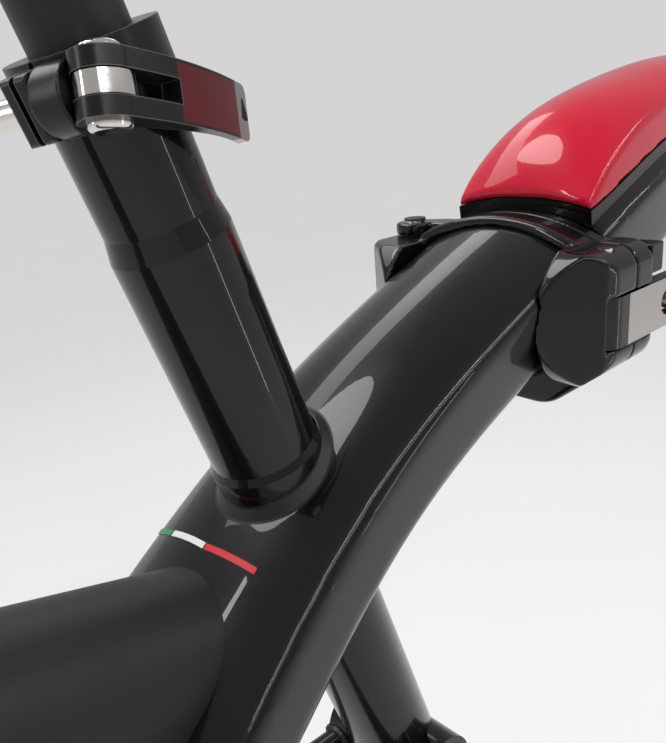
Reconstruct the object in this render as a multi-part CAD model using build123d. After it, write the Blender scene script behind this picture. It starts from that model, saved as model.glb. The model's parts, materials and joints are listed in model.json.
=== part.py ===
"""Frame of a folding electric bicycle, with its fold hinge, seat post and rear mudguard.

Millimetres. X points forward, Y to the rider's left, Z up. The origin is the centre of the
bottom bracket. Each piece is written to parts/NAME.step.
"""
from build123d import *
import os
from math import acos, atan2, cos, degrees, hypot, radians, sin

# Seat tube, leaning back from the bottom bracket
seat_angle = 72.0
crown_height = 215.0          # bottom bracket to the beam's crown, along the seat tube
seat_tube_radius = 22.9
seat_tube_top_radius = 21.2
seat_tube_foot = 10.0
flare_rise = 103.0            # crown to the start of the taper
flare_length = 9.0
seat_tube_rise = 170.0        # crown to the open top
skirt_radius = 24.6
skirt_height = 8.0
skirt_bevel = 3.0
skirt_sink = 14.0             # crown down to the skirt's lower end

# Seat post
post_radius = 16.95
post_fit = 0.05
post_length = 470.0
post_foot = 130.0             # bottom bracket to the post's lower end, along the seat tube
post_wall = 2.6
post_neck_length = 16.0
spigot_radius = 11.1
spigot_length = 36.0

# Seat clamp
collar_radius = 25.3
collar_height = 23.0
collar_lip = 1.5
collar_slot = 2.0
ear_thickness = 4.5
ear_reach = 29.0              # seat tube axis to the clamp bolt
ear_half_height = 9.8
ear_end = 6.5                 # clamp bolt to the end of the ears
ear_corner = 2.0
clamp_turn = 23.0             # degrees about the seat tube, from straight back to the right
lever_dip = 27.0              # degrees about the clamp bolt, lever end downwards
bolt_radius = 3.0
bolt_clearance = 0.2
bolt_eye_radius = 8.6
bolt_eye_height = 6.4
washer_radius = 10.4
washer_thickness = 12.0
washer_dish = 2.0
nut_radius = 4.6
nut_length = 13.0
nut_dome = 2.5
clamp_pin_radius = 3.0
clamp_pin_head_radius = 6.4
clamp_pin_head = 2.6
clamp_pin_dome = 2.0
lever_gap = 0.3
clamp_cam_radius = 9.0
clamp_lever_length = 59.0
clamp_lever_height = 18.6
clamp_lever_bow = 3.2
clamp_lever_tip = 4.6
clamp_lever_corner = 3.0
fork_depth = 19.0
fork_gap = 0.4

# Bottom bracket and rear end
shell_width = 68.0
shell_radius = 21.0
shell_bore_radius = 17.25
axle_back = 399.0
axle_drop = 31.0
dropout_spacing = 135.0
dropout_thickness = 7.0
axle_slot = 10.2
tyre_radius = 254.0
chain_stay_radius = 9.0
crank_room = 2.0              # kept free round the shell's bore, out to the sides
slot_front = -142.0
slot_half_width = 38.0
slot_rear_half_width = 55.0
split_x = -176.0

# Beam walls and corners
beam_wall = 3.0
side_tuck = 5.0
top_corner = 4.5
low_corner = 9.0

# Fold hinge
seam_x = 116.0
seam_gap = 0.4
hinge_rise = 37.5             # crown to the middle of the hinge
flange_depth = 18.0
flange_edge = 2.5
hinge_crown = 39.5            # middle of the hinge to the top of its arch
casting_reach = 53.0          # seam to the rear end of the housings
housing_radius = 38.0         # their rounded rear, seen from the side
housing_drop = 6.0
hinge_pin_y = 69.0
hinge_pin_radius = 5.0
hinge_pin_head = 1.6
pin_fit = 0.05
knuckle_radius = 11.5
knuckle_low = -37.0           # middle knuckle, from the middle of the hinge
knuckle_high = 23.8
knuckle_edge = 4.0
knuckle_gap = 0.4
knuckle_cap = 7.0
chin_reach = 74.0             # seam to where the casting runs out under the front beam

# Frame latch on the right of the hinge
latch_y = -62.0
latch_back = 14.0             # seam to the latch pin, rearward
latch_arm_radius = 10.5
latch_window_low = -23.0
latch_window_high = 4.0
latch_gap = 0.4
latch_room = 0.7
latch_pin_radius = 3.5
latch_pin_low = -29.0
latch_pin_high = 26.3
latch_lever_length = 105.0
latch_lever_thickness = 7.0
latch_lever_hole = 7.0
latch_block_reach = 28.0      # seam to the front end of the thick block
catch_depth = 5.0

# Head tube and battery
head_angle = 72.0
head_x = 478.0
head_rise = 125.5             # crown to the middle of the head tube
head_length = 112.0
head_radius = 22.0
head_bore_radius = 17.0
battery_rear = 152.0
battery_front = 372.0
battery_gap = 0.3
cover_wall = 3.0
cover_skirt = 8.0
cover_corner = 5.0
tray_crown = 6.0              # middle of the tray's top above its edges

# Rear mudguard
guard_radius = 36.0
guard_wall = 2.5
guard_tyre_gap = 14.0
guard_nose_x = -121.0
guard_nose_drop = 68.5        # below the crown
guard_skirt = 26.0
guard_end_angle = 158.0       # about the axle, from straight forward
guard_stay_radius = 2.0
guard_stay_stand = 0.9        # clear of what the stay runs past
guard_stay_angle = 128.0

crown_x = -crown_height * cos(radians(seat_angle))
crown_z = crown_height * sin(radians(seat_angle))
hinge_z = crown_z + hinge_rise
head_z = crown_z + head_rise
seat_lean = Rot(0, seat_angle - 90, 0)
axle_x, axle_z = -axle_back, -axle_drop

# Beam sections: place of the corner line, its height above the crown and its slope, half width,
# top of the arch above the corners, flat side below them, and belly below them
REAR_SECTIONS = (
    # x, rise, slope, half_width, arch, side, belly
    (106.0, 58.5, 0.0, 50.0, 16.0, 46.0, 74.0),
    (60.0, 41.5, 20.0, 49.0, 16.0, 38.0, 60.0),
    (0.0, 16.5, 25.0, 48.5, 16.5, 37.0, 56.0),
    (-60.0, -16.5, 33.0, 50.0, 16.0, 36.0, 54.0),
    (-110.0, -53.5, 39.0, 54.0, 14.0, 35.0, 52.0),
    (-176.0, -108.5, 40.0, 61.0, 11.0, 30.0, 44.0),
    (-270.0, -176.5, 32.0, 70.0, 8.0, 24.0, 34.0),
    (-362.0, -210.5, 22.0, 77.0, 5.0, 14.0, 21.0),
)
HOLLOW_REAR_SECTIONS = 5
FRONT_SECTIONS = (
    # x, rise, slope, half_width, arch, side, belly
    (126.0, 63.5, 0.0, 50.0, 16.0, 46.0, 74.0),
    (172.0, 79.5, 17.0, 49.0, 16.0, 43.0, 66.0),
    (250.0, 101.5, 14.0, 45.0, 15.0, 40.0, 60.0),
    (350.0, 124.5, 11.0, 36.0, 12.0, 37.0, 54.0),
    (474.0, 143.5, 8.0, 19.0, 8.0, 34.0, 46.0),
)
COVER_SECTIONS = (
    # x, rise, slope, half_width, top of the dome above the corner line, its edge, the tray's edge
    (127.0, 63.8, 8.0, 42.0, 25.0, 18.5, 13.8),
    (150.0, 71.5, 16.0, 42.0, 42.0, 27.0, 13.0),
    (200.0, 88.0, 16.0, 40.0, 50.0, 34.0, 12.5),
    (270.0, 106.5, 13.0, 36.0, 45.0, 33.0, 11.5),
    (345.0, 123.5, 11.0, 30.0, 32.0, 24.0, 10.0),
    (398.0, 132.5, 9.5, 22.0, 18.0, 13.0, 7.0),
)
# Outline of the hinge at the seam, seen from behind, from the left end of its arch round to the right end
HINGE_OUTLINE = (
    # y, height above the middle of the hinge, corner radius
    (52.0, 26.5, 4.0),
    (52.0, -28.0, 14.0),
    (34.0, -59.0, 22.0),
    (-34.0, -61.0, 22.0),
    (-72.5, -31.0, 12.0),
    (-72.5, 26.0, 12.0),
    (-50.0, 26.5, 8.0),
)


def section_plane(x, rise, slope):
    """Plane across a beam that rises forward at the slope, its Y axis up"""
    turn = radians(slope)
    return Plane(origin=(x, 0, crown_z + rise), x_dir=(0, 1, 0), z_dir=(cos(turn), 0, sin(turn)))


def beam_section(x, rise, slope, half_width, arch, side, belly, inset=0.0):
    """Arched top, small corners, flat sides and rounded belly"""
    wide = half_width - inset
    low = wide - side_tuck
    outline = Curve() + [
        ThreePointArc((-wide, -inset), (0, arch - inset), (wide, -inset)),
        Line((wide, -inset), (low, -side)),
        ThreePointArc((low, -side), (0, inset - belly), (-low, -side)),
        Line((-low, -side), (-wide, -inset)),
    ]
    face = make_face(outline)
    corners = face.vertices().sort_by(Axis.Y)
    face = fillet(corners[:2], low_corner - inset)
    corners = face.vertices().sort_by(Axis.Y)
    face = fillet(corners[-2:], top_corner)
    return section_plane(x, rise, slope) * face


def beam_loft(table, inset=0.0):
    """Smooth body through a table of beam sections"""
    return loft([beam_section(*row, inset=inset) for row in table])


def cover_section(x, rise, slope, half_width, top, edge, tray_edge, inset=0.0):
    """Domed section that stands on the tray's top, or goes below it where it is inset"""
    wide = half_width - inset
    foot = tray_edge - inset
    middle = tray_edge + tray_crown if inset == 0 else foot - 1
    outline = Curve() + [
        ThreePointArc((-wide, edge - inset), (0, top - inset), (wide, edge - inset)),
        Line((wide, edge - inset), (wide, foot)),
        ThreePointArc((wide, foot), (0, middle), (-wide, foot)),
        Line((-wide, foot), (-wide, edge - inset)),
    ]
    face = make_face(outline)
    return section_plane(x, rise, slope) * fillet(face.vertices().sort_by(Axis.Y)[-2:], cover_corner - inset)


def cover_loft(inset=0.0):
    """Smooth dome through the cover's sections"""
    return loft([cover_section(*row, inset=inset) for row in COVER_SECTIONS])


def tray_section(x, rise, slope, half_width, top, edge, tray_edge):
    """Section of the tray under the cover, its top arched between the edges"""
    outline = Curve() + [
        ThreePointArc((-half_width, tray_edge), (0, tray_edge + tray_crown), (half_width, tray_edge)),
        Line((half_width, tray_edge), (half_width, -cover_skirt)),
        Line((half_width, -cover_skirt), (-half_width, -cover_skirt)),
        Line((-half_width, -cover_skirt), (-half_width, tray_edge)),
    ]
    return section_plane(x, rise, slope) * make_face(outline)


def cylinder_between(start, end, radius):
    """Round bar from one point to another"""
    start, end = Vector(*start), Vector(*end)
    axis = end - start
    return extrude(Plane(origin=start, z_dir=axis) * Circle(radius), axis.length)


def upright(x, y, low, high, radius):
    """Round bar along Z"""
    return Pos(x, y, low) * Cylinder(radius, high - low, align=(Align.CENTER, Align.CENTER, Align.MIN))


def slab(x0, x1, y0, y1, z0, z1):
    """Box between two corners"""
    return Pos((x0 + x1) / 2, (y0 + y1) / 2, (z0 + z1) / 2) * Box(abs(x1 - x0), abs(y1 - y0), abs(z1 - z0))


parts = {}

# Seat tube and its weld skirt
seat_tube_top = crown_height + seat_tube_rise
seat_tube_bar = seat_lean * upright(0, 0, 0, seat_tube_top, seat_tube_radius)
shell_bar = cylinder_between((0, -shell_width / 2, 0), (0, shell_width / 2, 0), shell_radius)
tube_outline = Polyline(
    (post_radius + post_fit, seat_tube_foot),
    (seat_tube_radius, seat_tube_foot),
    (seat_tube_radius, crown_height + flare_rise),
    (seat_tube_top_radius, crown_height + flare_rise + flare_length),
    (seat_tube_top_radius, seat_tube_top),
    (post_radius + post_fit, seat_tube_top),
    close=True,
)
seat_tube = seat_lean * revolve(make_face(Plane.XZ * tube_outline), Axis.Z)
parts["seat_tube"] = seat_tube - shell_bar

# Rear beam: one lofted body, split behind the seat tube into two stays
rear_solid = beam_loft(REAR_SECTIONS)
rear_hollow = beam_loft(REAR_SECTIONS[:HOLLOW_REAR_SECTIONS], inset=beam_wall)
slot_arc_x = slot_front - slot_half_width
slot_end_x = axle_x - 60
slot_outline = Curve() + [
    ThreePointArc((slot_arc_x, -slot_half_width), (slot_front, 0), (slot_arc_x, slot_half_width)),
    Line((slot_arc_x, slot_half_width), (slot_end_x, slot_rear_half_width)),
    Line((slot_end_x, slot_rear_half_width), (slot_end_x, -slot_rear_half_width)),
    Line((slot_end_x, -slot_rear_half_width), (slot_arc_x, -slot_half_width)),
]
wheel_slot = Pos(0, 0, -crown_height) * extrude(make_face(slot_outline), 2 * crown_height)
slotted = rear_solid - wheel_slot
rear_beam = slotted & slab(split_x, seam_x, -120, 120, -300, 400)
parts["rear_beam"] = rear_beam - rear_hollow - seat_tube_bar
stays = slotted & slab(slot_end_x, split_x, -120, 120, -300, 400)

skirt_outline = Polyline(
    (seat_tube_radius, crown_height - skirt_sink),
    (skirt_radius, crown_height - skirt_sink),
    (skirt_radius, crown_height + skirt_height - skirt_bevel),
    (seat_tube_radius, crown_height + skirt_height),
    close=True,
)
skirt = seat_lean * revolve(make_face(Plane.XZ * skirt_outline), Axis.Z)
parts["seat_tube_skirt"] = skirt - rear_solid

# Bottom bracket shell
parts["bottom_bracket_shell"] = shell_bar - cylinder_between(
    (0, -shell_width, 0), (0, shell_width, 0), shell_bore_radius)

# Dropouts, stays and chain stays, left and right
dropout_mid = (dropout_spacing + dropout_thickness) / 2
dropout_face = make_face(Polyline(
    (axle_x - 16, axle_z - 13), (axle_x + 2, axle_z - 20), (axle_x + 62, axle_z - 4),
    (axle_x + 66, axle_z + 8), (axle_x + 58, axle_z + 38), (axle_x + 30, axle_z + 34),
    (axle_x - 10, axle_z + 17), close=True))
dropout_face = fillet(dropout_face.vertices(), 6)
axle_cut = make_face(Polyline(
    (-40, -axle_slot / 2), (0, -axle_slot / 2), (0, axle_slot / 2), (-40, axle_slot / 2), close=True))
axle_cut = Pos(axle_x, axle_z) * Rot(0, 0, 25) * (axle_cut + Circle(axle_slot / 2))
dropout_face = dropout_face - axle_cut
crank_path = cylinder_between((0, -dropout_spacing, 0), (0, dropout_spacing, 0), shell_bore_radius + crank_room)
seat_tube_foot_bar = seat_lean * upright(0, 0, 0, 100, seat_tube_radius)
for side_name, side in (("left", 1), ("right", -1)):
    dropout = Pos(0, side * dropout_mid, 0) * extrude(
        Plane.XZ * dropout_face, dropout_thickness / 2, both=True)
    parts[f"dropout_{side_name}"] = dropout
    stay_path = FilletPolyline(
        (0, side * 24, -2), (-118, side * 44, -16), (-215, side * 58, -29),
        (axle_x + 44, side * dropout_mid, axle_z - 6), radius=90)
    stay_start = Plane(origin=stay_path @ 0, z_dir=stay_path % 0)
    chain_stay = sweep(stay_start * Circle(chain_stay_radius), stay_path)
    parts[f"chain_stay_{side_name}"] = chain_stay - shell_bar - dropout - seat_tube_foot_bar - crank_path
    half = slab(slot_end_x, split_x, 0, side * 130, -300, 400)
    parts[f"stay_{side_name}"] = (stays & half) - dropout - chain_stay

# Front beam, its head tube, battery and cover
head_lean = Pos(head_x, 0, head_z) * Rot(0, head_angle - 90, 0)
head_bar = head_lean * Cylinder(head_radius, head_length)
front_solid = beam_loft(FRONT_SECTIONS)
parts["front_beam"] = front_solid - beam_loft(FRONT_SECTIONS, inset=beam_wall) - head_bar
parts["head_tube"] = head_bar - head_lean * Cylinder(head_bore_radius, head_length)
parts["battery_block"] = beam_loft(FRONT_SECTIONS, inset=beam_wall + battery_gap) & slab(
    battery_rear, battery_front, -60, 60, 150, 400)

# Hinge castings: flanges that meet at the seam, a knuckle housing on the left, a latch housing on the right


def hinge_block(x, length):
    """The hinge's outline at x, carried forward by the length"""
    points = [(y, hinge_z + height) for y, height, corner in HINGE_OUTLINE]
    sides = [Line(start, end) for start, end in zip(points, points[1:])]
    face = make_face(Curve() + [ThreePointArc(points[-1], (0, hinge_z + hinge_crown), points[0])] + sides)
    for y, height, corner in HINGE_OUTLINE:
        face = fillet(face.vertices().sort_by_distance((y, hinge_z + height))[:1], corner)
    return extrude(Plane(origin=(x, 0, 0), x_dir=(0, 1, 0), z_dir=(1, 0, 0)) * face, length)


def plan_block(points, low, high):
    """Straight-sided block from an outline seen from above, between two heights over the hinge's middle"""
    return Pos(0, 0, hinge_z + low) * extrude(make_face(Polyline(*points, close=True)), high - low)


def hinge_bar(x, y, low, high, radius):
    """Upright bar between two heights over the hinge's middle"""
    return upright(x, y, hinge_z + low, hinge_z + high, radius)


beam_side = REAR_SECTIONS[0][3] - beam_wall
rear_face, front_face = seam_x - seam_gap / 2, seam_x + seam_gap / 2
flange_rear, flange_front = rear_face - flange_depth, front_face + flange_depth
outline_left, outline_right = HINGE_OUTLINE[0][0], HINGE_OUTLINE[4][0]
latch_x = seam_x - latch_back
housing_x = rear_face - casting_reach
housing_turn = cylinder_between(
    (housing_x + housing_radius, -200, hinge_z - housing_drop),
    (housing_x + housing_radius, 200, hinge_z - housing_drop), housing_radius)
knuckle_face = hinge_pin_y + knuckle_radius
pin_bore = hinge_bar(seam_x, hinge_pin_y, -200, 200, hinge_pin_radius + pin_fit)

rear_flange = hinge_block(flange_rear, flange_depth)
rear_flange = fillet(rear_flange.faces().sort_by(Axis.X)[0].edges(), flange_edge)
latch_housing = plan_block(
    [(rear_face, -beam_side), (housing_x, -beam_side), (housing_x + 26, outline_right + 2.5),
     (housing_x + 33, outline_right), (rear_face, outline_right)], -60, 60)
latch_housing = latch_housing & housing_turn & hinge_block(housing_x, casting_reach)
knuckle_housing = plan_block(
    [(rear_face, beam_side), (housing_x, beam_side), (housing_x + 23, knuckle_face - 4),
     (housing_x + 29, knuckle_face), (rear_face, knuckle_face)], knuckle_low, knuckle_high)
knuckle_housing = fillet(knuckle_housing.edges().filter_by(
    lambda e: e.center().Y > beam_side + 1 and e.center().X < rear_face - 1
    and abs(e.center().Z - hinge_z) > min(-knuckle_low, knuckle_high) - 1
    and abs(e.start_point().Z - e.end_point().Z) < 1), knuckle_edge)
knuckle_housing = knuckle_housing & housing_turn
knuckle_housing += hinge_bar(seam_x, hinge_pin_y, knuckle_low, knuckle_high, knuckle_radius)
latch_room_radius = latch_arm_radius + latch_room
latch_slot = hinge_bar(latch_x, latch_y, latch_window_low, latch_window_high, latch_room_radius)
latch_slot += plan_block(
    [(latch_x - latch_room_radius, latch_y), (latch_x, latch_y), (latch_x, -beam_side - catch_depth),
     (flange_front + 100, -beam_side - catch_depth), (flange_front + 100, outline_right - 20),
     (latch_x - latch_room_radius, outline_right - 20)], latch_window_low, latch_window_high)
latch_bore = hinge_bar(latch_x, latch_y, -200, 200, latch_pin_radius + pin_fit)
parts["rear_hinge_plate"] = (
    rear_flange + latch_housing + knuckle_housing - rear_solid - pin_bore - latch_slot - latch_bore)

front_flange = hinge_block(front_face, flange_depth)
front_flange = fillet(front_flange.faces().sort_by(Axis.X)[-1].edges(), flange_edge)
chin = loft([
    hinge_block(flange_front, 1).faces().sort_by(Axis.X)[0],
    beam_section(seam_x + chin_reach, *[a + (b - a) * (chin_reach - 56) / 78 for a, b in zip(
        FRONT_SECTIONS[1][1:], FRONT_SECTIONS[2][1:])])])
chin = chin & slab(flange_front, seam_x + chin_reach, -120, 120, 0, hinge_z + latch_window_low)
jaw_line = -beam_side - catch_depth
casting = front_flange + chin - latch_slot - front_solid
caps = Part()
for low, high in ((knuckle_low - knuckle_gap - knuckle_cap, knuckle_low - knuckle_gap),
                  (knuckle_high + knuckle_gap, knuckle_high + knuckle_gap + knuckle_cap)):
    knuckle_step = knuckle_radius * sin(radians(45))
    caps += plan_block(
        [(front_face, beam_side - 12), (flange_front, beam_side - 12), (flange_front, outline_left + 4),
         (seam_x + knuckle_step, hinge_pin_y + knuckle_step), (front_face, hinge_pin_y)], low, high)
    caps += hinge_bar(seam_x, hinge_pin_y, low, high, knuckle_radius)
jaw_side = slab(front_face - 10, 300, jaw_line, outline_right - 20, 0, 400)
parts["front_hinge_plate"] = casting - jaw_side + (caps - front_solid) - pin_bore
parts["latch_jaw_upper"] = casting & jaw_side & slab(0, 300, -200, 0, hinge_z + latch_window_high - 1, 400)
parts["latch_jaw_lower"] = casting & jaw_side & slab(0, 300, -200, 0, 0, hinge_z + latch_window_low + 1)
tray_solid = loft([tray_section(*row) for row in COVER_SECTIONS])
parts["cover_tray"] = tray_solid - front_solid - front_flange
cover_room = slab(
    COVER_SECTIONS[0][0] + cover_wall, COVER_SECTIONS[-1][0] - cover_wall, -60, 60, crown_z, crown_z + 300)
parts["beam_cover"] = cover_loft() - (cover_loft(inset=cover_wall) & cover_room)

pin_low = knuckle_low - knuckle_gap - knuckle_cap - hinge_pin_head
pin_high = knuckle_high + knuckle_gap + knuckle_cap + hinge_pin_head
hinge_pin = hinge_bar(seam_x, hinge_pin_y, pin_low, pin_high, hinge_pin_radius)
for low in (pin_low, pin_high - hinge_pin_head):
    hinge_pin += hinge_bar(seam_x, hinge_pin_y, low, low + hinge_pin_head, hinge_pin_radius + 1.5)
parts["hinge_pin"] = hinge_pin

# Frame latch lever on its pin
parts["latch_pin"] = hinge_bar(latch_x, latch_y, latch_pin_low, latch_pin_high, latch_pin_radius)
latch_outer_y = latch_y - latch_arm_radius
block_front = seam_x + latch_block_reach
block_inner = jaw_line - latch_gap
handle_inner = latch_outer_y + latch_lever_thickness
tip_x = latch_x + latch_lever_length
lever_outline = [
    (latch_x, block_inner), (block_front - 8, block_inner), (block_front + 6, handle_inner),
    (tip_x - 4, handle_inner - 2), (tip_x, handle_inner - 6), (tip_x - 2, latch_outer_y - 3),
    (tip_x - 30, latch_outer_y - 1.5), (latch_x, latch_outer_y)]
lever_low, lever_high = latch_window_low + latch_gap, latch_window_high - latch_gap
latch_lever = plan_block(lever_outline, lever_low, lever_high)
latch_lever += hinge_bar(latch_x, latch_y, lever_low, lever_high, latch_arm_radius)
latch_lever -= latch_bore
hole_x, hole_z = block_front + 6, hinge_z + (lever_low + lever_high) / 2
latch_hole = cylinder_between((hole_x, -100, hole_z), (hole_x, -50, hole_z), latch_lever_hole)
parts["latch_lever"] = latch_lever - latch_hole
safety_catch = slab(flange_front, flange_front + 15, latch_y + 4, outline_right + 1.5, hinge_z + 8, hinge_z + 23)
parts["latch_safety_catch"] = fillet(safety_catch.faces().sort_by(Axis.X)[-1].edges(), 3)

# Seat clamp, in the seat tube's own frame
clamp_frame = seat_lean * Rot(0, 0, clamp_turn)
collar_top = seat_tube_top + collar_lip
collar_low = collar_top - collar_height
collar_mid = (collar_low + collar_top) / 2
ear_face = collar_slot / 2 + ear_thickness
collar = upright(0, 0, collar_low, collar_top, collar_radius)
ears = slab(-ear_reach - ear_end, 0, -ear_face, ear_face, collar_mid - ear_half_height, collar_mid + ear_half_height)
collar += fillet(ears.faces().sort_by(Axis.X)[0].edges(), ear_corner)
collar -= upright(0, 0, 0, seat_tube_top, seat_tube_top_radius)
collar -= upright(0, 0, 0, collar_top + 1, post_radius + bolt_clearance)
collar -= slab(-ear_reach - 2 * ear_end, 0, -collar_slot / 2, collar_slot / 2, 0, collar_top + 1)
bolt_bore = cylinder_between((-ear_reach, -60, collar_mid), (-ear_reach, 60, collar_mid), bolt_radius + bolt_clearance)
parts["seat_collar"] = clamp_frame * (collar - bolt_bore)

# The washer, bolt and lever are turned together about the bolt
lever_frame = clamp_frame * Pos(-ear_reach, 0, collar_mid) * Rot(0, lever_dip, 0)
cam_y = -(ear_face + washer_thickness + clamp_cam_radius - washer_dish)
washer = cylinder_between((0, -ear_face, 0), (0, -ear_face - washer_thickness, 0), washer_radius)
washer = fillet(washer.edges().sort_by(Axis.Y)[-1], 1)
washer -= upright(0, cam_y, -30, 30, clamp_cam_radius + lever_gap)
washer -= cylinder_between((0, -60, 0), (0, 60, 0), bolt_radius + bolt_clearance)
collar_bar = upright(0, 0, collar_low - washer_radius, collar_top + washer_radius, collar_radius + lever_gap)
parts["clamp_washer"] = lever_frame * washer - clamp_frame * collar_bar

clamp_bore = upright(0, cam_y, -30, 30, clamp_pin_radius + pin_fit)
bolt = cylinder_between((0, ear_face + nut_length - 4, 0), (0, cam_y, 0), bolt_radius)
bolt += upright(0, cam_y, -bolt_eye_height / 2, bolt_eye_height / 2, bolt_eye_radius)
parts["clamp_bolt"] = lever_frame * (bolt - clamp_bore)
nut = cylinder_between((0, ear_face, 0), (0, ear_face + nut_length, 0), nut_radius)
nut = fillet(nut.edges().sort_by(Axis.Y)[-1], nut_dome)
parts["clamp_nut"] = lever_frame * (nut - bolt)

outer_y, tip_end = cam_y - clamp_cam_radius + 0.2, clamp_lever_length
lever_curve = Curve() + [
    ThreePointArc((-1, outer_y), (tip_end / 2, outer_y - clamp_lever_bow), (tip_end, outer_y)),
    Line((tip_end, outer_y), (tip_end, outer_y + clamp_lever_tip)),
    ThreePointArc((tip_end, outer_y + clamp_lever_tip), (tip_end / 2, outer_y + clamp_lever_tip - clamp_lever_bow),
                  (clamp_cam_radius - 1, cam_y + 1)),
    Line((clamp_cam_radius - 1, cam_y + 1), (-1, outer_y)),
]
half_lever = clamp_lever_height / 2
clamp_lever = Pos(0, 0, -half_lever) * extrude(make_face(lever_curve), clamp_lever_height)
clamp_lever = fillet(clamp_lever.edges().filter_by(Axis.Y).sort_by(Axis.X)[-2:], clamp_lever_corner)
clamp_lever += upright(0, cam_y, -half_lever, half_lever, clamp_cam_radius)
fork_half = bolt_eye_height / 2 + fork_gap
clamp_lever -= slab(-20, fork_depth, cam_y - 20, cam_y + 20, -fork_half, fork_half)
parts["clamp_lever"] = lever_frame * (clamp_lever - clamp_bore)
pin = upright(0, cam_y, -half_lever, half_lever, clamp_pin_radius)
for low in (-half_lever - clamp_pin_head, half_lever):
    head = upright(0, cam_y, low, low + clamp_pin_head, clamp_pin_head_radius)
    pin += fillet(head.edges().sort_by(Axis.Z)[0 if low < 0 else -1], clamp_pin_dome)
parts["clamp_pin"] = lever_frame * pin

# Seat post, with a spigot for a saddle clamp
post_top = post_foot + post_length
neck_low = post_top - spigot_length - post_neck_length
post_outline = Polyline(
    (post_radius - post_wall, post_foot), (post_radius, post_foot), (post_radius, neck_low),
    (spigot_radius, neck_low + post_neck_length), (spigot_radius, post_top),
    (0, post_top), (0, neck_low), (post_radius - post_wall, neck_low), close=True)
parts["seat_post"] = seat_lean * revolve(make_face(Plane.XZ * post_outline), Axis.Z)

# Rear mudguard: a straight run from the yoke, tangent to the arc over the wheel
guard_path_radius = tyre_radius + guard_tyre_gap + guard_wall - guard_radius
guard_nose_z = crown_z - guard_nose_drop
nose_dx, nose_dz = guard_nose_x - axle_x, guard_nose_z - axle_z
nose_reach = hypot(nose_dx, nose_dz)
tangent_angle = degrees(atan2(nose_dz, nose_dx)) + degrees(acos(guard_path_radius / nose_reach))
straight_length = (nose_reach ** 2 - guard_path_radius ** 2) ** 0.5
guard_slope = 90 - tangent_angle
guard_start = Plane(origin=(guard_nose_x, 0, guard_nose_z), x_dir=(0, 1, 0),
                    z_dir=(-cos(radians(guard_slope)), 0, sin(radians(guard_slope))))
axle_axis = Axis((axle_x, 0, axle_z), (0, -1, 0))


def guard_form(radius, depth):
    """Inverted U swept from the rounded nose along the straight run and the arc"""
    arch = Curve() + [
        ThreePointArc((-radius, 0), (0, -radius), (radius, 0)),
        Line((radius, 0), (radius, depth)),
        Line((radius, depth), (-radius, depth)),
        Line((-radius, depth), (-radius, 0)),
    ]
    arch = make_face(arch)
    run = extrude(guard_start * arch, straight_length)
    turn = revolve(guard_start.offset(straight_length) * arch, axle_axis, guard_end_angle - tangent_angle)
    nose = guard_start * (Sphere(radius) + Rot(-90, 0, 0) * Cylinder(
        radius, depth, align=(Align.CENTER, Align.CENTER, Align.MIN)))
    keep = guard_start * (Pos(0, depth - 2 * radius, -2 * radius) * Box(4 * radius, 4 * radius, 4 * radius))
    return run + turn + (nose & keep)


guard = guard_form(guard_radius, guard_skirt) - guard_form(guard_radius - guard_wall, guard_skirt + 5)
parts["rear_mudguard"] = guard - rear_solid
stay_angle = radians(guard_stay_angle)
wire_out = guard_stay_radius + guard_stay_stand
wire_foot = (axle_x - 6, dropout_spacing / 2 + dropout_thickness + wire_out, axle_z + 12)
wire_top = (axle_x + guard_path_radius * cos(stay_angle), guard_radius + wire_out,
            axle_z + guard_path_radius * sin(stay_angle))
wires = Part()
for side in (1, -1):
    wires += cylinder_between((wire_foot[0], side * wire_foot[1], wire_foot[2]),
                              (wire_top[0], side * wire_top[1], wire_top[2]), guard_stay_radius)
parts["mudguard_stays"] = wires

os.makedirs("parts", exist_ok=True)
for name, shape in parts.items():
    export_step(shape, f"parts/{name}.step")
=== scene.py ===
"""Finish of a folding bicycle frame: paint, metal, mouldings and the small parts on it."""

import json
import math

import bpy
from mathutils import Matrix, Vector
from mathutils.bvhtree import BVHTree


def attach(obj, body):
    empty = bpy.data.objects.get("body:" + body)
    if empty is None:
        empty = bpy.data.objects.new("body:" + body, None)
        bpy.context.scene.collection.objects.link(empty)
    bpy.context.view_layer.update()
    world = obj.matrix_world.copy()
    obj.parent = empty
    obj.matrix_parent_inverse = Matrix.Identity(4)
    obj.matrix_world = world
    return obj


bl_info = {
    "name": "Folding bicycle frame finish",
    "version": (1, 0, 0),
    "blender": (4, 5, 0),
    "location": "View3D > Sidebar > Frame",
    "description": "Dresses the packed frame of a folding electric bicycle",
    "category": "Object",
}

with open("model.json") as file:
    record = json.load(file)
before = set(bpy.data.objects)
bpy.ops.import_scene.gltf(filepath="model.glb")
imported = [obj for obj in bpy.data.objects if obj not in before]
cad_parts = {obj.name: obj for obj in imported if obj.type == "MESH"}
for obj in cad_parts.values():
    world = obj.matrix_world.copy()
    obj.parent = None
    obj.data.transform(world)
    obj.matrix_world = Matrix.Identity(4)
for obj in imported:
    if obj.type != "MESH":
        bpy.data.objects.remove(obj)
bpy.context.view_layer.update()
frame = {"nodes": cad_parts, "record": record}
NODES = frame["nodes"]
ROOT = "rear_frame"


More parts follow.
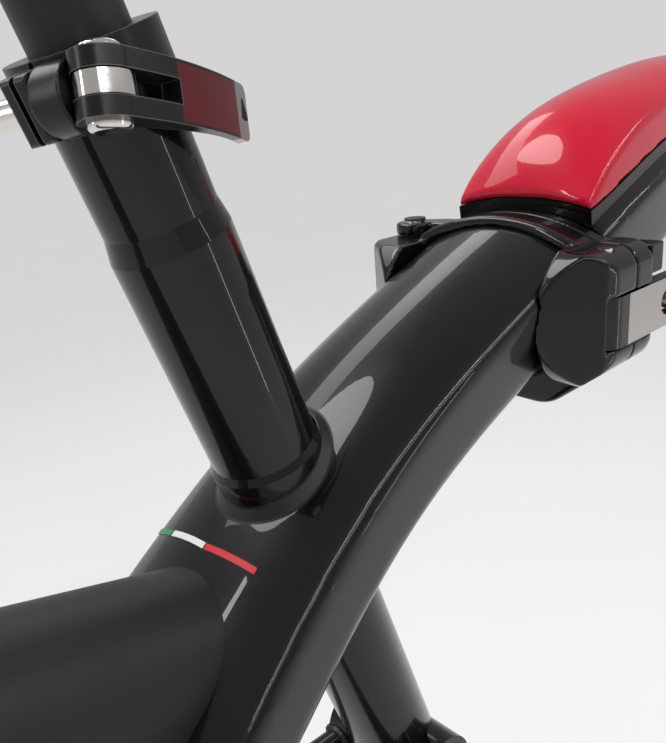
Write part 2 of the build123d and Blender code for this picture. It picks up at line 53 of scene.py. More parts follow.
class StageSettings(bpy.types.PropertyGroup):
    """Camera, floor and lights"""
    focal_length: bpy.props.FloatProperty(
        name="Focal length", description="Lens of the view along the beam", subtype="DISTANCE_CAMERA",
        default=36.34)
    camera_place: bpy.props.FloatVectorProperty(
        name="Camera place", description="Behind the seat tube, to the right and above", unit="LENGTH",
        subtype="TRANSLATION", default=(-0.2402, -0.2344, 0.3402))
    camera_heading: bpy.props.FloatProperty(
        name="Camera heading", description="From straight forward to the left", subtype="ANGLE",
        default=math.radians(47.53))
    camera_dip: bpy.props.FloatProperty(
        name="Camera dip", description="Downwards from level", subtype="ANGLE", default=math.radians(18.98))
    camera_roll: bpy.props.FloatProperty(
        name="Camera roll", description="Turn about the line of sight", subtype="ANGLE",
        default=math.radians(-4.76))
    floor_height: bpy.props.FloatProperty(
        name="Floor height", description="Where 20-inch tyres would stand", unit="LENGTH", default=-0.285)
    floor_colour: bpy.props.FloatVectorProperty(
        name="Floor colour", description="Pale floor and backdrop", subtype="COLOR",
        default=(0.80, 0.80, 0.80))
    room_light: bpy.props.FloatProperty(
        name="Room light", description="Even light from all round", default=0.34)
    window_light: bpy.props.FloatProperty(
        name="Window light", description="Broad soft light from above", default=1.75)
    backdrop_level: bpy.props.FloatProperty(
        name="Backdrop level", description="Strength at which the backdrop meets the floor", default=0.82)
    mirror_share: bpy.props.FloatProperty(
        name="Room in reflections", description="Share of the pale room that shows in paint and metal",
        default=0.25)


class PaintSettings(bpy.types.PropertyGroup):
    """Colours of the finishes"""
    frame_paint: bpy.props.FloatVectorProperty(
        name="Frame paint", description="Black under a clear coat", subtype="COLOR",
        default=(0.003, 0.003, 0.0034))
    cover_red: bpy.props.FloatVectorProperty(
        name="Cover", description="Crimson of the beam cover", subtype="COLOR",
        default=(0.56, 0.003, 0.028))
    lever_red: bpy.props.FloatVectorProperty(
        name="Lever inlay", description="Dark red face of the seat clamp's lever", subtype="COLOR",
        default=(0.095, 0.003, 0.007))
    post_black: bpy.props.FloatVectorProperty(
        name="Seat post", description="Black anodised tube", subtype="COLOR",
        default=(0.010, 0.010, 0.011))
    moulding_black: bpy.props.FloatVectorProperty(
        name="Mudguard", description="Grained black moulding", subtype="COLOR",
        default=(0.013, 0.0135, 0.014))


class DetailSettings(bpy.types.PropertyGroup):
    """Sizes of the small pieces"""
    stripe_width: bpy.props.FloatProperty(
        name="Stripe width", description="Three-colour stripe behind the seat tube", unit="LENGTH",
        default=0.0021)
    stripe_rise: bpy.props.FloatProperty(
        name="Stripe thickness", description="Above the paint", unit="LENGTH", default=0.0002)
    fillet_size: bpy.props.FloatProperty(
        name="Weld fillet", description="Smoothed weld round the seat tube", unit="LENGTH", default=0.0042)
    bead_radius: bpy.props.FloatProperty(
        name="Weld bead", description="Rippled welds under the beam and at the shell", unit="LENGTH",
        default=0.0022)


# The seat tube leans back, the clamp is turned to the right about it, and its lever dips about the bolt
SEAT_TUBE_LEAN = math.radians(-18)
CLAMP_TURN = math.radians(23)
LEVER_DIP = math.radians(27)
BOLT_PLACE = (-0.029, 0, 0.375)
SEAT_TUBE = Matrix.Rotation(SEAT_TUBE_LEAN, 4, "Y")
CLAMP = SEAT_TUBE @ Matrix.Rotation(CLAMP_TURN, 4, "Z")
LEVER = CLAMP @ Matrix.Translation(BOLT_PLACE) @ Matrix.Rotation(LEVER_DIP, 4, "Y")

# Camera's sensor in millimetres
SENSOR_WIDTH = 36.0

# Floor, room and window, in metres and linear colours
FLOOR_WIDTH = 120
MOTTLE_SCALE = 3.0
MOTTLE_DEPTH = 0.015
ROOM_COLOUR = (0.97, 0.98, 1.0, 1)
WINDOW_COLOUR = (1.0, 0.985, 0.96)
WINDOW_SPREAD = math.radians(32)
WINDOW_TURN = (math.radians(-24), math.radians(-14), 0)


def camera_matrix(s):
    """Camera that looks along its heading and dip, rolled about its line of sight"""
    ahead = Vector((math.cos(s.camera_heading) * math.cos(s.camera_dip),
                    math.sin(s.camera_heading) * math.cos(s.camera_dip), -math.sin(s.camera_dip)))
    right = ahead.cross(Vector((0, 0, 1))).normalized()
    above = right.cross(ahead)
    level = Matrix((right, above, -ahead)).transposed()
    turned = level @ Matrix.Rotation(s.camera_roll, 3, "Z")
    return Matrix.Translation(Vector(s.camera_place)) @ turned.to_4x4()


def area_light(name, place, aim, size, power):
    """Soft rectangular light aimed at a point"""
    data = bpy.data.lights.new(name, "AREA")
    data.shape, data.size, data.size_y = "RECTANGLE", size[0], size[1]
    data.energy = power
    light = bpy.data.objects.new(name, data)
    bpy.context.collection.objects.link(light)
    light.location = place
    light.rotation_mode = "QUATERNION"
    light.rotation_quaternion = (Vector(aim) - Vector(place)).to_track_quat("-Z", "Y")


def add_node(tree, kind, **settings):
    """Node with its settings and its sockets' values"""
    made = tree.nodes.new(kind)
    for key, value in settings.items():
        label = key.replace("_", " ").title()
        if label in made.inputs:
            made.inputs[label].default_value = value
        else:
            setattr(made, key, value)
    return made


def math_of(tree, operation, *values):
    """Output of a Math node, whose values are sockets or plain numbers"""
    made = add_node(tree, "ShaderNodeMath", operation=operation)
    for socket, value in zip(made.inputs, values):
        if isinstance(value, bpy.types.NodeSocket):
            tree.links.new(value, socket)
        else:
            socket.default_value = value
    return made.outputs[0]


def seen_directly(tree, mirror_share):
    """1 for rays from the camera or through glass, a share of it for mirrored rays, 0 for the light itself"""
    path = add_node(tree, "ShaderNodeLightPath").outputs
    plain = math_of(tree, "MAXIMUM", path["Is Camera Ray"], path["Is Transmission Ray"])
    shown = math_of(tree, "MULTIPLY_ADD", path["Is Glossy Ray"], mirror_share, plain)
    shown.node.use_clamp = True
    return shown


def pale_floor(s):
    """Floor that takes the object's shadow and is as pale as the backdrop"""
    material = bpy.data.materials.new("floor_pale")
    material.use_nodes = True
    tree = material.node_tree
    surface = tree.nodes["Principled BSDF"]
    surface.inputs["Roughness"].default_value = 1.0
    surface.inputs["Specular IOR Level"].default_value = 0.0
    mottle = add_node(tree, "ShaderNodeTexNoise", scale=MOTTLE_SCALE)
    place = add_node(tree, "ShaderNodeTexCoord")
    blend = add_node(tree, "ShaderNodeMix", data_type="RGBA")
    blend.inputs["A"].default_value = (*[c * (1 - MOTTLE_DEPTH) for c in s.floor_colour], 1)
    blend.inputs["B"].default_value = (*[c * (1 + MOTTLE_DEPTH) for c in s.floor_colour], 1)
    tree.links.new(place.outputs["Object"], mottle.inputs["Vector"])
    tree.links.new(mottle.outputs["Fac"], blend.inputs["Factor"])
    tree.links.new(blend.outputs["Result"], surface.inputs["Base Color"])
    return material


LAMPS = (
    # name, place, aim, size, power
    ("top_sheen", (0.10, 0.85, 1.10), (0.0, 0.0, 0.2), (1.50, 0.30), 4.0),
    ("ridge_strip", (0.10, -0.75, 1.00), (0.0, 0.0, 0.2), (2.20, 0.025), 4.4),
    ("second_strip", (0.10, -1.02, 0.98), (0.0, 0.0, 0.2), (2.20, 0.016), 3.0),
    ("rear_strip", (-1.10, 0.45, 0.80), (0.0, 0.0, 0.25), (0.06, 0.90), 2.0),
    ("low_strip", (0.70, -1.20, 0.12), (0.0, 0.0, 0.2), (0.02, 1.00), 0.9),
)


class FRAME_OT_stage(bpy.types.Operator):
    """Adds the camera, the pale floor and the soft lights"""
    bl_idname = "frame_finish.stage"
    bl_label = "Stage"

    def execute(self, context):
        s = context.scene.frame_stage
        data = bpy.data.cameras.new("camera")
        data.lens, data.sensor_width = s.focal_length, SENSOR_WIDTH
        data.clip_start, data.clip_end = 0.01, 50
        camera = bpy.data.objects.new("camera", data)
        context.collection.objects.link(camera)
        camera.matrix_world = camera_matrix(s)
        context.scene.camera = camera

        bpy.ops.object.select_all(action="DESELECT")
        bpy.ops.mesh.primitive_plane_add(size=FLOOR_WIDTH, location=(0, 0, s.floor_height))
        floor = context.active_object
        floor.name = "floor"
        floor.data.materials.append(pale_floor(s))

        world = bpy.data.worlds.new("studio")
        world.use_nodes = True
        context.scene.world = world
        tree = world.node_tree
        tree.nodes.clear()
        out = add_node(tree, "ShaderNodeOutputWorld")
        shown = add_node(tree, "ShaderNodeBackground", color=(*s.floor_colour, 1), strength=s.backdrop_level)
        lit = add_node(tree, "ShaderNodeBackground", color=ROOM_COLOUR, strength=s.room_light)
        mix = add_node(tree, "ShaderNodeMixShader")
        tree.links.new(seen_directly(tree, s.mirror_share), mix.inputs[0])
        tree.links.new(lit.outputs[0], mix.inputs[1])
        tree.links.new(shown.outputs[0], mix.inputs[2])
        tree.links.new(mix.outputs[0], out.inputs[0])

        sun = bpy.data.lights.new("window", "SUN")
        sun.energy, sun.angle, sun.color = s.window_light, WINDOW_SPREAD, WINDOW_COLOUR
        lamp = bpy.data.objects.new("window", sun)
        context.collection.objects.link(lamp)
        lamp.rotation_euler = WINDOW_TURN
        for name, place, aim, size, power in LAMPS:
            area_light(name, place, aim, size, power)
        context.scene.view_settings.view_transform = "Standard"
        return {"FINISHED"}


FINISHES = (
    # slot, colour, metallic, least and most roughness, coat, specular level, grain a metre, bump depth, dust
    ("gloss_black", "frame_paint", 0.0, 0.24, 0.32, 0.55, 0.12, 260, 0.00004, 0.05),
    ("red_cover", "cover_red", 0.0, 0.24, 0.34, 0.60, 0.12, 240, 0.00004, 0.02),
    ("satin_black", (0.005, 0.005, 0.0055), 0.0, 0.24, 0.34, 0.0, 0.36, 2600, 0.00003, 0.03),
    ("matte_black", "post_black", 0.0, 0.34, 0.44, 0.0, 0.35, 3400, 0.00003, 0.02),
    ("matte_moulding", "moulding_black", 0.0, 0.46, 0.56, 0.0, 0.32, 1900, 0.00009, 0.04),
    ("polished_steel", (0.74, 0.71, 0.67), 1.0, 0.10, 0.24, 0.0, 0.50, 900, 0.00002, 0.0),
    ("latch_metal", (0.52, 0.49, 0.47), 1.0, 0.09, 0.20, 0.0, 0.50, 1500, 0.00003, 0.0),
    ("wire_steel", (0.42, 0.42, 0.43), 1.0, 0.18, 0.34, 0.0, 0.50, 1200, 0.00003, 0.0),
    ("battery_case", (0.020, 0.020, 0.022), 0.0, 0.42, 0.55, 0.0, 0.50, 1500, 0.00008, 0.02),
    ("stripe_green", (0.010, 0.20, 0.045), 0.0, 0.30, 0.40, 0.0, 0.40, 900, 0.00002, 0.0),
    ("stripe_white", (0.70, 0.70, 0.68), 0.0, 0.30, 0.40, 0.0, 0.40, 900, 0.00002, 0.0),
    ("stripe_red", (0.55, 0.012, 0.025), 0.0, 0.30, 0.40, 0.0, 0.40, 900, 0.00002, 0.0),
    # near-black finish of the lever's three-cornered sheet, painted shade of a recess
    ("dark_recess", (0.006, 0.006, 0.006), 0.0, 0.50, 0.65, 0.0, 0.30, 1500, 0.00003, 0.0),
)

# Clear coat, dust and paler edges
COAT_ROUGHNESS = 0.02
GRAIN_STRENGTH = 0.6
DUST_COLOUR = (0.30, 0.30, 0.29, 1)
EDGE_COLOUR = (0.26, 0.26, 0.25, 1)
EDGE_SHARE = 0.55

# Colours on the two levers, and where on them each starts, in metres
LEVER_END_METAL = (0.42, 0.40, 0.39)
BARREL_BLACK = (0.004, 0.004, 0.004)
BARREL_FRONT = 0.1085
INLAY_START = 0.0185
INLAY_HALF_HEIGHT = 0.0084
INLAY_FACING = 0.9
BARE_END_START = 0.0505


def new_group(name, inputs, outputs):
    """Shader node group with named sockets, and its first and last nodes"""
    group = bpy.data.node_groups.new(name, "ShaderNodeTree")
    for label, kind, value in inputs:
        socket = group.interface.new_socket(name=label, in_out="INPUT", socket_type=kind)
        socket.default_value = value
    for label, kind in outputs:
        group.interface.new_socket(name=label, in_out="OUTPUT", socket_type=kind)
    return group, group.nodes.new("NodeGroupInput"), group.nodes.new("NodeGroupOutput")


def grain_group():
    """Fine grain: a height for the bump, and a roughness that drifts over the surface"""
    group, start, end = new_group(
        "surface_grain",
        (("Scale", "NodeSocketFloat", 1000.0), ("Least Roughness", "NodeSocketFloat", 0.3),
         ("Most Roughness", "NodeSocketFloat", 0.4)),
        (("Height", "NodeSocketFloat"), ("Roughness", "NodeSocketFloat")))
    link = group.links.new
    place = add_node(group, "ShaderNodeTexCoord")
    fine = add_node(group, "ShaderNodeTexNoise", detail=3.0, roughness=0.6)
    broad = add_node(group, "ShaderNodeTexNoise", scale=35.0, detail=4.0)
    drift = add_node(group, "ShaderNodeMapRange", from_min=0.3, from_max=0.7)
    link(place.outputs["Object"], fine.inputs["Vector"])
    link(start.outputs["Scale"], fine.inputs["Scale"])
    link(place.outputs["Object"], broad.inputs["Vector"])
    link(broad.outputs["Fac"], drift.inputs["Value"])
    link(start.outputs["Least Roughness"], drift.inputs["To Min"])
    link(start.outputs["Most Roughness"], drift.inputs["To Max"])
    link(fine.outputs["Fac"], end.inputs["Height"])
    link(drift.outputs["Result"], end.inputs["Roughness"])
    return group


def dust_group():
    """Specks of dust that settle on what faces up"""
    group, start, end = new_group(
        "settled_dust",
        (("Colour", "NodeSocketColor", (0.0, 0.0, 0.0, 1)), ("Amount", "NodeSocketFloat", 0.1)),
        (("Colour", "NodeSocketColor"),))
    link = group.links.new
    place = add_node(group, "ShaderNodeTexCoord")
    specks = add_node(group, "ShaderNodeTexVoronoi", scale=420.0)
    size = add_node(group, "ShaderNodeMapRange", from_min=0.05, from_max=0.13, to_min=1.0, to_max=0.0)
    patches = add_node(group, "ShaderNodeTexNoise", scale=60.0, detail=2.0)
    some = add_node(group, "ShaderNodeMapRange", from_min=0.52, from_max=0.66)
    up = add_node(group, "ShaderNodeSeparateXYZ")
    upward = add_node(group, "ShaderNodeMapRange", from_min=0.35, from_max=0.95)
    blend = add_node(group, "ShaderNodeMix", data_type="RGBA")
    blend.inputs["B"].default_value = DUST_COLOUR
    link(place.outputs["Object"], specks.inputs["Vector"])
    link(place.outputs["Object"], patches.inputs["Vector"])
    link(place.outputs["Normal"], up.inputs["Vector"])
    link(specks.outputs["Distance"], size.inputs["Value"])
    link(patches.outputs["Fac"], some.inputs["Value"])
    link(up.outputs["Z"], upward.inputs["Value"])
    both = math_of(group, "MULTIPLY", size.outputs["Result"], some.outputs["Result"])
    facing = math_of(group, "MULTIPLY", both, upward.outputs["Result"])
    link(math_of(group, "MULTIPLY", facing, start.outputs["Amount"]), blend.inputs["Factor"])
    link(start.outputs["Colour"], blend.inputs["A"])
    link(blend.outputs["Result"], end.inputs["Colour"])
    return group


def edge_group():
    """Paler colour along sharp outer edges"""
    group, start, end = new_group(
        "bright_edges",
        (("Colour", "NodeSocketColor", (0.0, 0.0, 0.0, 1)), ("Amount", "NodeSocketFloat", 0.5)),
        (("Colour", "NodeSocketColor"),))
    link = group.links.new
    rounded = add_node(group, "ShaderNodeBevel", samples=6, radius=0.0006)
    true = add_node(group, "ShaderNodeNewGeometry")
    agree = add_node(group, "ShaderNodeVectorMath", operation="DOT_PRODUCT")
    edge = add_node(group, "ShaderNodeMapRange", from_min=0.995, from_max=0.86)
    blend = add_node(group, "ShaderNodeMix", data_type="RGBA")
    blend.inputs["B"].default_value = EDGE_COLOUR
    link(rounded.outputs["Normal"], agree.inputs[0])
    link(true.outputs["Normal"], agree.inputs[1])
    link(agree.outputs["Value"], edge.inputs["Value"])
    share = math_of(group, "MULTIPLY", edge.outputs["Result"], start.outputs["Amount"])
    link(share, blend.inputs["Factor"])
    link(start.outputs["Colour"], blend.inputs["A"])
    link(blend.outputs["Result"], end.inputs["Colour"])
    return group


def brighten_edges(material, edges, amount):
    """Puts the pale edges over a finish's own colour"""
    tree = material.node_tree
    surface = tree.nodes["Principled BSDF"]
    shine = add_node(tree, "ShaderNodeGroup", node_tree=edges)
    shine.inputs["Amount"].default_value = amount
    tree.links.new(surface.inputs["Base Color"].links[0].from_socket, shine.inputs["Colour"])
    tree.links.new(shine.outputs["Colour"], surface.inputs["Base Color"])


def make_finish(row, paint, grain, dust):
    """One row of the finishes as a material"""
    name, colour, metallic, least, most, coat, level, scale, depth, dusty = row
    colour = getattr(paint, colour) if isinstance(colour, str) else colour
    material = bpy.data.materials.new(name)
    material.use_nodes = True
    tree = material.node_tree
    link = tree.links.new
    surface = tree.nodes["Principled BSDF"]
    surface.inputs["Metallic"].default_value = metallic
    surface.inputs["Coat Weight"].default_value = coat
    surface.inputs["Coat Roughness"].default_value = COAT_ROUGHNESS
    surface.inputs["Specular IOR Level"].default_value = level
    texture = add_node(tree, "ShaderNodeGroup", node_tree=grain)
    texture.inputs["Scale"].default_value = scale
    texture.inputs["Least Roughness"].default_value = least
    texture.inputs["Most Roughness"].default_value = most
    specks = add_node(tree, "ShaderNodeGroup", node_tree=dust)
    specks.inputs["Colour"].default_value = (*colour, 1)
    specks.inputs["Amount"].default_value = dusty
    bump = add_node(tree, "ShaderNodeBump", strength=GRAIN_STRENGTH, distance=depth)
    link(texture.outputs["Height"], bump.inputs["Height"])
    link(texture.outputs["Roughness"], surface.inputs["Roughness"])
    link(specks.outputs["Colour"], surface.inputs["Base Color"])
    link(bump.outputs["Normal"], surface.inputs["Normal"])
    return material


def mixed_colour(tree, mask, under, over):
    """The colour under a mask, or a plain colour over it"""
    blend = add_node(tree, "ShaderNodeMix", data_type="RGBA")
    tree.links.new(mask, blend.inputs["Factor"])
    tree.links.new(under, blend.inputs["A"])
    blend.inputs["B"].default_value = (*over, 1)
    return blend.outputs["Result"]


def black_barrel(material):
    """Blackens the latch lever's barrel, behind the start of its bare arm"""
    tree = material.node_tree
    surface = tree.nodes["Principled BSDF"]
    place = add_node(tree, "ShaderNodeTexCoord")
    along = add_node(tree, "ShaderNodeSeparateXYZ")
    tree.links.new(place.outputs["Object"], along.inputs["Vector"])
    back = math_of(tree, "LESS_THAN", along.outputs["X"], BARREL_FRONT)
    under = surface.inputs["Base Color"].links[0].from_socket
    tree.links.new(mixed_colour(tree, back, under, BARREL_BLACK), surface.inputs["Base Color"])
    tree.links.new(math_of(tree, "SUBTRACT", 1.0, back), surface.inputs["Metallic"])


def lever_face(material, paint):
    """Dark red inlay on the clamp lever's outer face, and its bare metal end"""
    tree = material.node_tree
    surface = tree.nodes["Principled BSDF"]
    place = add_node(tree, "ShaderNodeTexCoord")
    local = add_node(tree, "ShaderNodeMapping", vector_type="TEXTURE")
    local.inputs["Location"].default_value = LEVER.to_translation()
    local.inputs["Rotation"].default_value = LEVER.to_euler()
    along = add_node(tree, "ShaderNodeSeparateXYZ")
    tree.links.new(place.outputs["Object"], local.inputs["Vector"])
    tree.links.new(local.outputs["Vector"], along.inputs["Vector"])
    outward = add_node(tree, "ShaderNodeVectorMath", operation="DOT_PRODUCT")
    outward.inputs[1].default_value = -LEVER.col[1].to_3d()
    tree.links.new(place.outputs["Normal"], outward.inputs[0])
    height = math_of(tree, "ABSOLUTE", along.outputs["Z"])
    faces_out = math_of(tree, "GREATER_THAN", outward.outputs["Value"], INLAY_FACING)
    past_start = math_of(tree, "GREATER_THAN", along.outputs["X"], INLAY_START)
    between_rims = math_of(tree, "LESS_THAN", height, INLAY_HALF_HEIGHT)
    inlay = math_of(tree, "MULTIPLY", math_of(tree, "MULTIPLY", faces_out, past_start), between_rims)
    under = surface.inputs["Base Color"].links[0].from_socket
    red = mixed_colour(tree, inlay, under, paint.lever_red)
    bare_end = math_of(tree, "GREATER_THAN", along.outputs["X"], BARE_END_START)
    tree.links.new(mixed_colour(tree, bare_end, red, LEVER_END_METAL), surface.inputs["Base Color"])
    tree.links.new(bare_end, surface.inputs["Metallic"])


class FRAME_OT_finishes(bpy.types.Operator):
    """Gives each piece of the frame its finish"""
    bl_idname = "frame_finish.finishes"
    bl_label = "Finishes"

    def execute(self, context):
        paint = context.scene.frame_paint
        grain, dust = grain_group(), dust_group()
        made = {row[0]: make_finish(row, paint, grain, dust) for row in FINISHES}
        black_barrel(made["latch_metal"])
        satin = next(row for row in FINISHES if row[0] == "satin_black")
        made["lever_finish"] = make_finish(("lever_finish", *satin[1:]), paint, grain, dust)
        lever_face(made["lever_finish"], paint)
        edges = edge_group()
        for name in ("satin_black", "lever_finish"):
            brighten_edges(made[name], edges, EDGE_SHARE)
        for row in frame["record"]["subparts"]:
            piece = NODES[row["node"]]
            slot = "lever_finish" if row["node"] == "clamp_lever" else row["material_slot"]
            piece.data.materials.clear()
            piece.data.materials.append(made[slot])
        return {"FINISHED"}


SMOOTH_ANGLE = math.radians(35)


def finished(piece, name, body, finish):
    """Names a new piece, smooths it, gives it its finish and sets it on its body"""
    bpy.ops.object.select_all(action="DESELECT")
    piece.select_set(True)
    bpy.context.view_layer.objects.active = piece
    bpy.ops.object.transform_apply(location=True, rotation=True, scale=True)
    bpy.ops.object.shade_smooth_by_angle(angle=SMOOTH_ANGLE)
    piece.name = name
    piece.data.materials.clear()
    piece.data.materials.append(bpy.data.materials[finish])
    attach(piece, body)


def tree_of(node):
    """Ray-casting tree of a CAD node's own surface"""
    mesh = NODES[node].data
    return BVHTree.FromPolygons([v.co for v in mesh.vertices], [face.vertices for face in mesh.polygons])


# Steps along a stripe, and the height from which rays drop it on the beam
STRIPE_STEPS = 24
RAY_HEIGHT = 0.4
STRIPES = (
    # finish, points along the top of the beam as x and y in metres
    ("stripe_green", ((-0.0970, 0.0485), (-0.0990, 0.0400), (-0.1000, 0.0315))),
    ("stripe_white", ((-0.1001, 0.0305), (-0.1012, 0.0160), (-0.1014, 0.0040))),
    ("stripe_red", ((-0.1014, 0.0030), (-0.1004, -0.0110), (-0.0980, -0.0255))),
)

# Points nearer than this become one before the surface is rounded
JOIN_DISTANCE = 0.000005
CASTINGS = (
    # node, grid of the rounded surface, rounds of smoothing
    ("rear_hinge_plate", 0.0009, 10),
    ("front_hinge_plate", 0.0009, 10),
    ("latch_jaw_upper", 0.0007, 10),
    ("latch_jaw_lower", 0.0007, 10),
    ("latch_safety_catch", 0.0005, 6),
    ("clamp_washer", 0.0004, 12),
    ("dropout_left", 0.0011, 4),
    ("dropout_right", 0.0011, 4),
    ("rear_beam", 0.0017, 30),
    ("beam_cover", 0.0011, 16),
    ("front_beam", 0.0017, 30),
)


class FRAME_OT_castings(bpy.types.Operator):
    """Rounds the edges of the castings, and evens the lofted skins under their paint"""
    bl_idname = "frame_finish.castings"
    bl_label = "Castings"

    def execute(self, context):
        for node, grid, rounds in CASTINGS:
            piece = NODES[node]
            join = piece.modifiers.new("join", "WELD")
            join.merge_threshold = JOIN_DISTANCE
            skin = piece.modifiers.new("skin", "REMESH")
            skin.mode, skin.voxel_size, skin.use_smooth_shade = "VOXEL", grid, True
            soften = piece.modifiers.new("soften", "SMOOTH")
            soften.factor, soften.iterations = 0.5, rounds
        return {"FINISHED"}


class FRAME_OT_stripes(bpy.types.Operator):
    """Lays the three-colour stripe on the beam behind the seat tube"""
    bl_idname = "frame_finish.stripes"
    bl_label = "Stripes"

    def execute(self, context):
        s = context.scene.frame_detail
        beam = tree_of("rear_beam")
        for finish, points in STRIPES:
            first, middle, last = [Vector((*point, 0.0)) for point in points]
            bpy.ops.object.select_all(action="DESELECT")
            bpy.ops.mesh.primitive_grid_add(x_subdivisions=STRIPE_STEPS, y_subdivisions=2, size=1)
            piece = context.active_object
            for vertex in piece.data.vertices:
                along, across = vertex.co.x + 0.5, vertex.co.y
                spot = first.lerp(middle, along).lerp(middle.lerp(last, along), along)
                run = (last - first).normalized()
                spot += Vector((-run.y, run.x, 0)) * across * s.stripe_width
                hit, normal, _, _ = beam.ray_cast(Vector((spot.x, spot.y, RAY_HEIGHT)), Vector((0, 0, -1)))
                if hit is None:
                    raise RuntimeError("the stripe leaves the beam")
                vertex.co = hit + normal * s.stripe_rise
            solid = piece.modifiers.new("film", "SOLIDIFY")
            solid.thickness, solid.offset = s.stripe_rise * 2, 0.0
            bpy.ops.object.modifier_apply(modifier="film")
            finished(piece, finish, ROOT, finish)
        return {"FINISHED"}


# Points round each ring of a weld, the smooth weld's curve and root, and the rippled one's pitch in rings
RING_POINTS = 8
FILLET_STEPS = 5
FILLET_ROOT = 0.0008
RIPPLE_RINGS = 4
RIPPLE_SWELL = 0.13
CLEAR_OF_WALL = 0.00005


def hollow_ring(s, surface, base, hit, out, axis, i):
    """Hollow curve from the tube's wall to the piece that it stands on"""
    far = surface.ray_cast(base + out * s.fillet_size, axis)[0] or hit + out * s.fillet_size
    wall = hit - axis * s.fillet_size
    steps = [t / FILLET_STEPS for t in range(FILLET_STEPS + 1)]
    curve = [wall.lerp(hit, t).lerp(hit.lerp(far, t), t) for t in steps]
    return [*curve, far + axis * FILLET_ROOT, wall - out * FILLET_ROOT]


def rippled_ring(s, surface, base, hit, out, axis, i):
    """Round bead that swells once in each ripple"""
    swell = s.bead_radius * (1 + RIPPLE_SWELL * abs(math.sin(math.pi * i / RIPPLE_RINGS)))
    turns = [2 * math.pi * j / RING_POINTS for j in range(RING_POINTS)]
    return [hit + out * swell * math.cos(t) - axis * swell * math.sin(t) for t in turns]


STAY_START = (0, 0.024, -0.002)
STAY_RUN = (-0.118, 0.020, -0.014)


def chain_stay_frame(side):
    """Frame inside the shell whose Z runs back along a chain stay; side is 1 on the left, -1 on the right"""
    start, run = [Vector((x, side * y, z)) for x, y, z in (STAY_START, STAY_RUN)]
    turned = run.normalized().to_track_quat("Z", "Y").to_matrix().to_4x4()
    return Matrix.Translation(start) @ turned


SHELL = "bottom_bracket_shell"
WELDS = (
    # name, frame, radius, start and way of the rays along the frame, node that they meet, ring, rings
    ("seat_tube_weld", SEAT_TUBE, 0.0246, 0.260, -1, "rear_beam", hollow_ring, 192),
    ("seat_tube_lower_weld", SEAT_TUBE, 0.0229, 0.060, 1, "rear_beam", rippled_ring, 192),
    ("chain_stay_weld_left", chain_stay_frame(1), 0.009, 0.060, -1, SHELL, rippled_ring, 80),
    ("chain_stay_weld_right", chain_stay_frame(-1), 0.009, 0.060, -1, SHELL, rippled_ring, 80),
)


def round_weld(s, place, radius, start, way, target, ring, rings):
    """Weld where rays along a tube's wall meet the piece that it stands on"""
    surface = tree_of(target)
    bpy.ops.object.select_all(action="DESELECT")
    bpy.ops.mesh.primitive_torus_add(major_segments=rings, minor_segments=RING_POINTS, major_radius=radius,
                                     minor_radius=s.bead_radius)
    piece = bpy.context.active_object
    turned = place.to_3x3()
    axis = (turned @ Vector((0, 0, way))).normalized()
    for i in range(rings):
        angle = 2 * math.pi * i / rings
        out = (turned @ Vector((math.cos(angle), math.sin(angle), 0))).normalized()
        base = place @ Vector((0, 0, start)) + out * radius
        hit = surface.ray_cast(base + out * CLEAR_OF_WALL, axis)[0]
        if hit is None:
            raise RuntimeError("a weld misses the piece it stands on")
        for j, point in enumerate(ring(s, surface, base, hit, out, axis, i)):
            piece.data.vertices[i * RING_POINTS + j].co = point
    return piece


class FRAME_OT_welds(bpy.types.Operator):
    """Adds the smooth weld round the seat tube, and the rippled ones under the beam and at the shell"""
    bl_idname = "frame_finish.welds"
    bl_label = "Welds"

    def execute(self, context):
        s = context.scene.frame_detail
        for name, *form in WELDS:
            piece = round_weld(s, *form)
            finished(piece, name, ROOT, "gloss_black")
        return {"FINISHED"}


# Rounded rim as a share of a head's height, and each head's radius, height, socket radius and finish
RIM_SHARE = 0.35
PIN_HEAD = (0.0066, 0.0018, 0.0036, "satin_black")
STAY_HEAD = (0.0045, 0.0026, 0.0024, "polished_steel")
SCREWS = (
    # name, place, axis, head
    ("hinge_pin_top", (0.116, 0.069, 0.27480), (0, 0, 1), PIN_HEAD),
    ("hinge_pin_foot", (0.116, 0.069, 0.19590), (0, 0, -1), PIN_HEAD),
    ("stay_screw_left", (-0.405, 0.0793, -0.019), (0, 1, 0), STAY_HEAD),
    ("stay_screw_right", (-0.405, -0.0793, -0.019), (0, -1, 0), STAY_HEAD),
)


class FRAME_OT_screws(bpy.types.Operator):
    """Adds the socket heads on the hinge pin and the mudguard's stays"""
    bl_idname = "frame_finish.screws"
    bl_label = "Screw heads"

    def execute(self, context):
        for name, place, axis, (radius, height, socket, finish) in SCREWS:
            bpy.ops.object.select_all(action="DESELECT")
            bpy.ops.mesh.primitive_cylinder_add(vertices=6, radius=socket, depth=height,
                                                location=(0, 0, height))
            cutter = context.active_object
            bpy.ops.mesh.primitive_cylinder_add(vertices=40, radius=radius, depth=height)
            piece = context.active_object
            rim = piece.modifiers.new("rim", "BEVEL")
            rim.width, rim.segments, rim.limit_method = height * RIM_SHARE, 3, "ANGLE"
            bpy.ops.object.modifier_apply(modifier="rim")
            cut = piece.modifiers.new("socket", "BOOLEAN")
            cut.object, cut.solver = cutter, "EXACT"
            bpy.ops.object.modifier_apply(modifier="socket")
            bpy.data.objects.remove(cutter)
            piece.rotation_euler = Vector(axis).to_track_quat("Z", "Y").to_euler()
            piece.location = place
            finished(piece, name, ROOT, finish)
        return {"FINISHED"}


# Dark three-cornered sheet near the end of the clamp lever, painted shade standing in for the recess there,
# in the lever's own frame
RECESS_SHADE_RADIUS = 0.0033
RECESS_SHADE_DEPTH = 0.0012
RECESS_SHADE_CORNER = 0.0004
RECESS_SHADE_PLACE = (0.0553, -0.0338, 0.0)
RECESS_SHADE_STRETCH = (0.8, 1.0, 1.5, 1.0)


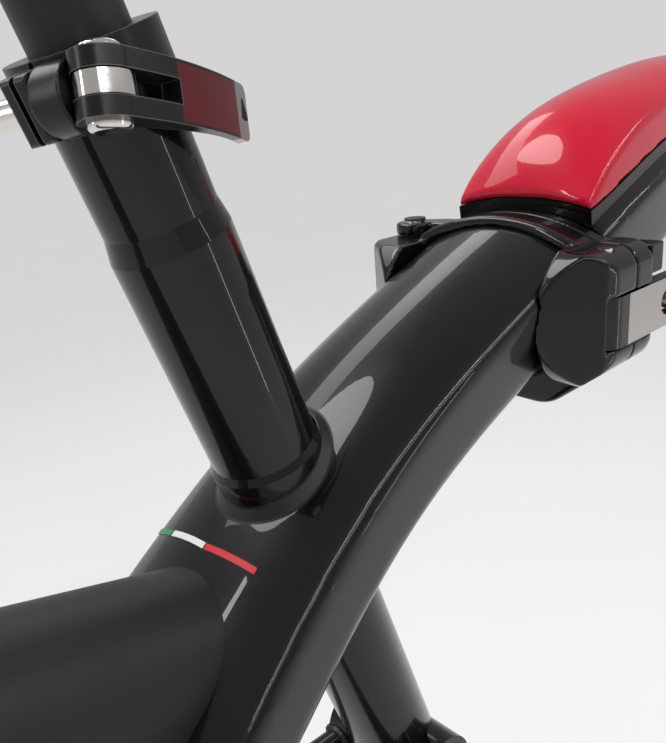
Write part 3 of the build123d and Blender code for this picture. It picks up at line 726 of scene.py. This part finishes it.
class FRAME_OT_lever_window(bpy.types.Operator):
    """Adds a dark three-cornered sheet near the end of the clamp lever, painted shade standing in for its
    recess
    """
    bl_idname = "frame_finish.lever_window"
    bl_label = "Lever inset"

    def execute(self, context):
        bpy.ops.object.select_all(action="DESELECT")
        bpy.ops.mesh.primitive_cylinder_add(vertices=3, radius=RECESS_SHADE_RADIUS, depth=RECESS_SHADE_DEPTH)
        piece = context.active_object
        corner = piece.modifiers.new("corner", "BEVEL")
        corner.width, corner.segments, corner.limit_method = RECESS_SHADE_CORNER, 2, "ANGLE"
        bpy.ops.object.modifier_apply(modifier="corner")
        lie = Matrix.Rotation(math.radians(90), 4, "X")
        piece.matrix_world = LEVER @ Matrix.Translation(RECESS_SHADE_PLACE) @ Matrix.Diagonal(RECESS_SHADE_STRETCH) @ lie
        # the dark sheet is painted shade where the lever has a recess; no hollow is cut
        finished(piece, "lever_recess_shade", "seat_clamp_lever", "dark_recess")
        return {"FINISHED"}


class FRAME_PT_finish(bpy.types.Panel):
    """Steps of the finish, in order"""
    bl_idname = "FRAME_PT_finish"
    bl_label = "Frame finish"
    bl_space_type = "VIEW_3D"
    bl_region_type = "UI"
    bl_category = "Frame"

    def draw(self, context):
        column = self.layout.column()
        for step in STEPS:
            column.operator(step.bl_idname)
        for group in ("frame_stage", "frame_paint", "frame_detail"):
            settings = getattr(context.scene, group)
            for name in settings.bl_rna.properties.keys():
                if name not in ("name", "rna_type"):
                    column.prop(settings, name)


STEPS = (FRAME_OT_stage, FRAME_OT_finishes, FRAME_OT_castings, FRAME_OT_stripes, FRAME_OT_welds,
         FRAME_OT_screws, FRAME_OT_lever_window)
CLASSES = (StageSettings, PaintSettings, DetailSettings, *STEPS, FRAME_PT_finish)


def register():
    for kind in CLASSES:
        bpy.utils.register_class(kind)
    bpy.types.Scene.frame_stage = bpy.props.PointerProperty(type=StageSettings)
    bpy.types.Scene.frame_paint = bpy.props.PointerProperty(type=PaintSettings)
    bpy.types.Scene.frame_detail = bpy.props.PointerProperty(type=DetailSettings)


def unregister():
    del bpy.types.Scene.frame_stage
    del bpy.types.Scene.frame_paint
    del bpy.types.Scene.frame_detail
    for kind in reversed(CLASSES):
        bpy.utils.unregister_class(kind)


def main():
    """Runs every step in order"""
    register()
    bpy.ops.frame_finish.stage()
    bpy.ops.frame_finish.finishes()
    bpy.ops.frame_finish.castings()
    bpy.ops.frame_finish.stripes()
    bpy.ops.frame_finish.welds()
    bpy.ops.frame_finish.screws()
    bpy.ops.frame_finish.lever_window()


if __name__ == "__main__":
    main()
